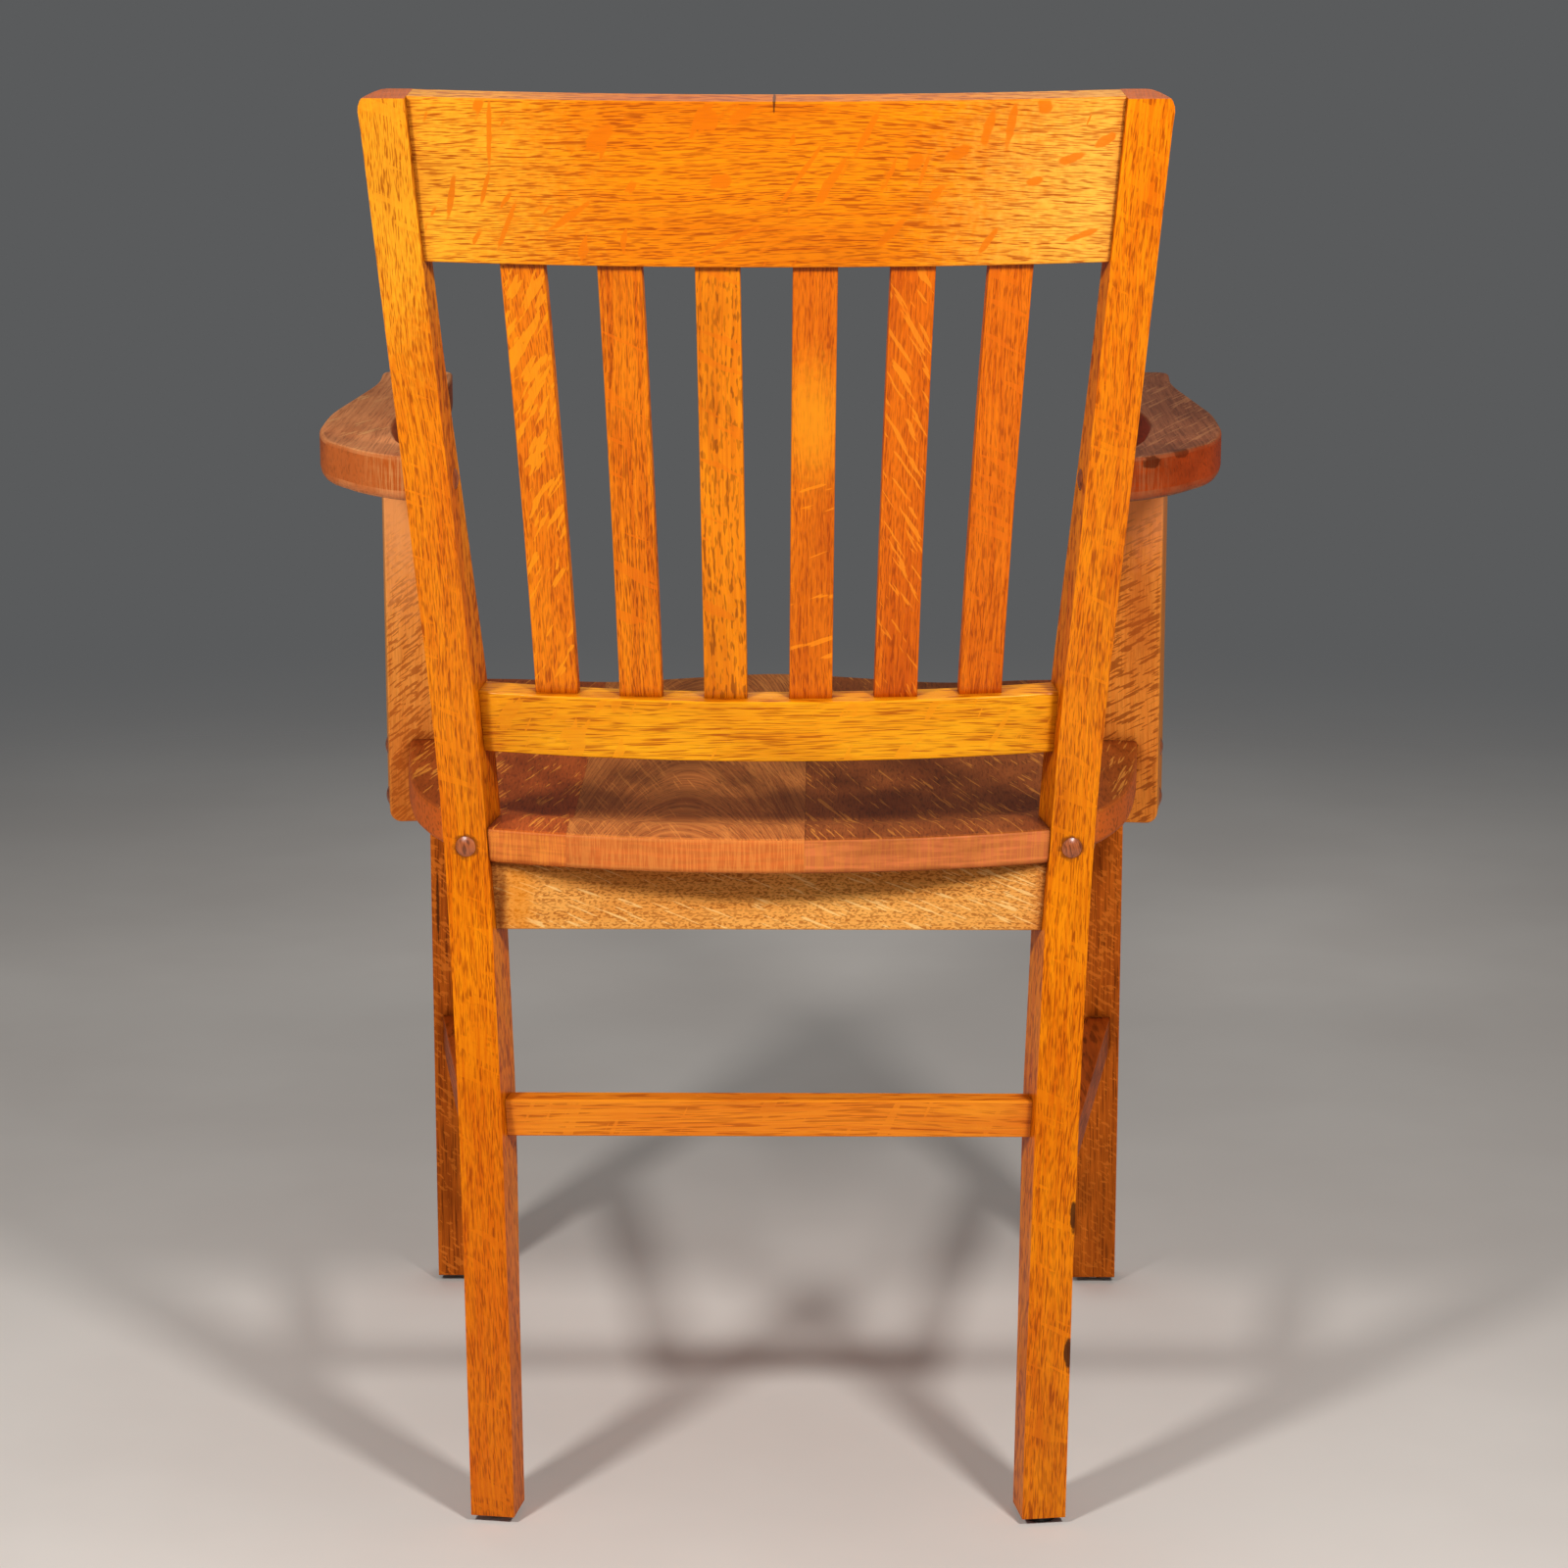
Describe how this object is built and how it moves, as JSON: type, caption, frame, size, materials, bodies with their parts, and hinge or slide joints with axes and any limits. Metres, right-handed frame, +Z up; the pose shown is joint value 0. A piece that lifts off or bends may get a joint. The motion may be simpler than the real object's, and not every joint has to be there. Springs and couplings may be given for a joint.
{
  "type": "library armchair",
  "caption": "Oak library armchair with raked back posts, a bowed crest over upright slats, a saddled plank seat, curved flat arms and stretchers.",
  "frame": {"origin": "on the floor, under the middle of the chair's bounding box", "axes": "+Z up; -Y is the way the sitter faces; +X is the sitter's left"},
  "size_m": [0.585, 0.5631, 0.916],
  "materials": {
    "back_oak": "amber varnished quartersawn oak, semi-gloss",
    "seat_oak": "red-brown varnished oak, worn to a dull sheen",
    "arm_oak": "dark red-brown varnished oak, worn",
    "support_oak": "pinkish orange varnished oak",
    "leg_oak": "dark orange-brown varnished oak",
    "apron_oak": "pale varnished oak with a speckled fleck",
    "plug_wood": "dark stained domed plugs",
    "dowel_wood": "bare beech",
    "screw_steel": "plain wood screws",
    "glide_steel": "worn pressed steel",
    "pad_rubber": "hard black rubber"
  },
  "bodies": {
    "root": {"back_post_left": "back_oak", "back_post_right": "back_oak", "front_leg_left": "leg_oak", "front_leg_right": "leg_oak", "crest_rail": "back_oak", "lower_back_rail": "back_oak", "back_slat_1": "back_oak", "back_slat_2": "back_oak", "back_slat_3": "back_oak", "back_slat_4": "back_oak", "back_slat_5": "back_oak", "back_slat_6": "back_oak", "seat_board_1": "seat_oak", "seat_board_2": "seat_oak", "seat_board_3": "seat_oak", "seat_board_4": "seat_oak", "rear_apron": "apron_oak", "front_apron": "apron_oak", "side_apron_left": "apron_oak", "side_apron_right": "apron_oak", "corner_block_front_left": "apron_oak", "corner_block_front_right": "apron_oak", "corner_block_rear_left": "apron_oak", "corner_block_rear_right": "apron_oak", "rear_stretcher": "back_oak", "side_stretcher_left": "leg_oak", "side_stretcher_right": "leg_oak", "arm_left": "arm_oak", "arm_right": "arm_oak", "arm_support_left": "support_oak", "arm_support_right": "support_oak", "glide_front_left": "glide_steel", "glide_front_right": "glide_steel", "glide_rear_left": "glide_steel", "pad_rear_right": "pad_rubber", "pad_nail": "glide_steel", "crest_dowels": "dowel_wood", "lower_rail_dowels": "dowel_wood", "rear_apron_dowels": "dowel_wood", "front_apron_dowels": "dowel_wood", "side_apron_dowels": "dowel_wood", "stretcher_dowels": "dowel_wood", "arm_dowels": "dowel_wood", "seat_post_screws": "screw_steel", "seat_post_plugs": "plug_wood", "arm_post_screws": "screw_steel", "arm_post_plugs": "plug_wood", "support_screws": "screw_steel", "support_plugs": "plug_wood", "corner_block_screws": "screw_steel", "seat_screws": "screw_steel"}
  },
  "joints": []
}
